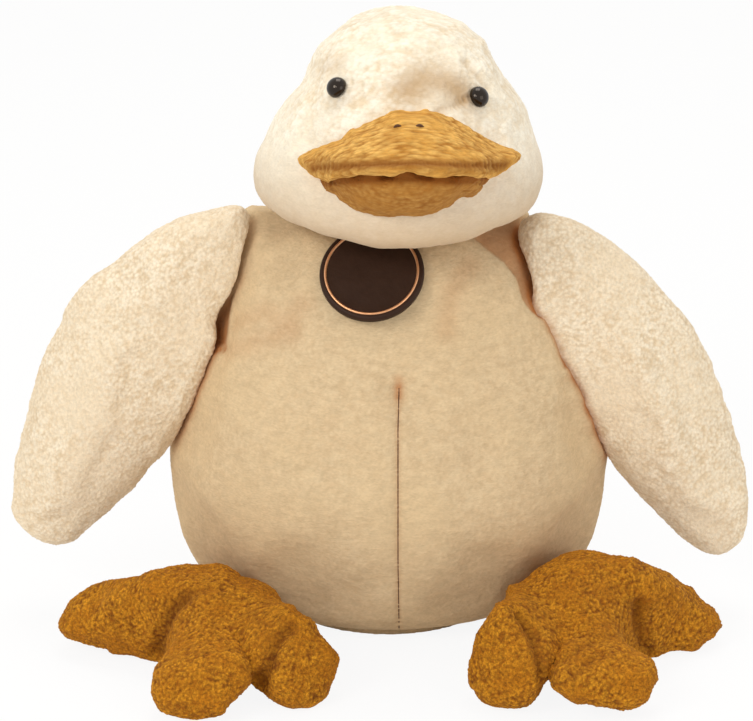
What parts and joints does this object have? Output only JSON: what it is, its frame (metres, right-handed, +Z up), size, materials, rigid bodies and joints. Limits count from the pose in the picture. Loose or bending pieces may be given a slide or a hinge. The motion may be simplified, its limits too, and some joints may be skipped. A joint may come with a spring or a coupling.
{
  "type": "plush duck",
  "caption": "Seated stuffed duck with soft hanging wings, padded three-toed feet, a wide plush beak, glossy eyes and a round chest medallion.",
  "frame": {"origin": "centre of the base panel's flat underside, on the floor", "axes": "+Z up, -Y the way the duck faces, +X towards its own left wing"},
  "size_m": [0.3294, 0.2543, 0.2745],
  "materials": {
    "cream_plush": "short pile",
    "ivory_plush": "short pile",
    "nubby_plush": "nubby pile",
    "mustard_plush": "short pile",
    "stuffing_fibre": "loose fibre",
    "pellet_calico": "woven",
    "eye_black": "gloss",
    "washer_nylon": "matte",
    "medallion_brown": "satin",
    "ring_copper": "satin",
    "stud_metal": "satin",
    "brown_thread": "twisted thread"
  },
  "bodies": {
    "body": {"body_cover": "cream_plush", "base_panel": "cream_plush", "body_stuffing": "stuffing_fibre", "pellet_bag": "pellet_calico", "tail_cover": "cream_plush", "tail_stuffing": "stuffing_fibre", "medallion_disc": "medallion_brown", "medallion_ring": "ring_copper", "medallion_stud": "stud_metal", "medallion_washer": "stud_metal", "belly_seam": "brown_thread"},
    "neck": {"neck_stuffing": "stuffing_fibre"},
    "head": {"head_cover": "ivory_plush", "head_stuffing": "stuffing_fibre", "beak_upper_cover": "mustard_plush", "beak_upper_stuffing": "stuffing_fibre", "beak_lower_cover": "mustard_plush", "beak_lower_stuffing": "stuffing_fibre", "nostril_left": "brown_thread", "nostril_right": "brown_thread", "eye_left": "eye_black", "eye_right": "eye_black", "eye_washer_left": "washer_nylon", "eye_washer_right": "washer_nylon"},
    "wing_left": {"wing_left_cover": "nubby_plush", "wing_left_stuffing": "stuffing_fibre"},
    "wing_right": {"wing_right_cover": "nubby_plush", "wing_right_stuffing": "stuffing_fibre"},
    "foot_left": {"foot_left_cover": "mustard_plush", "foot_left_stuffing": "stuffing_fibre"},
    "foot_right": {"foot_right_cover": "mustard_plush", "foot_right_stuffing": "stuffing_fibre"}
  },
  "joints": [
    {"name": "head_turn", "type": "hinge", "parent": "body", "child": "neck", "pos_m": [0, 0, 0.169], "axis": [0, 0, 1], "range_deg": [-20, 20], "stiffness_Nm_per_rad": 0.3},
    {"name": "head_tip_back", "type": "hinge", "parent": "neck", "child": "head", "pos_m": [0, 0, 0.169], "axis": [-1, 0, 0], "range_deg": [0, 10]},
    {"name": "wing_left_lift", "type": "hinge", "parent": "body", "child": "wing_left", "pos_m": [0.067, -0.016, 0.184], "axis": [0, -1, 0], "range_deg": [0, 60]},
    {"name": "wing_right_lift", "type": "hinge", "parent": "body", "child": "wing_right", "pos_m": [-0.067, -0.016, 0.184], "axis": [0, 1, 0], "range_deg": [0, 60]},
    {"name": "foot_left_lift", "type": "hinge", "parent": "body", "child": "foot_left", "pos_m": [0.084, -0.048, 0.042], "axis": [-1, 0, 0], "range_deg": [0, 35]},
    {"name": "foot_right_lift", "type": "hinge", "parent": "body", "child": "foot_right", "pos_m": [-0.08, -0.048, 0.042], "axis": [-1, 0, 0], "range_deg": [0, 35]}
  ]
}
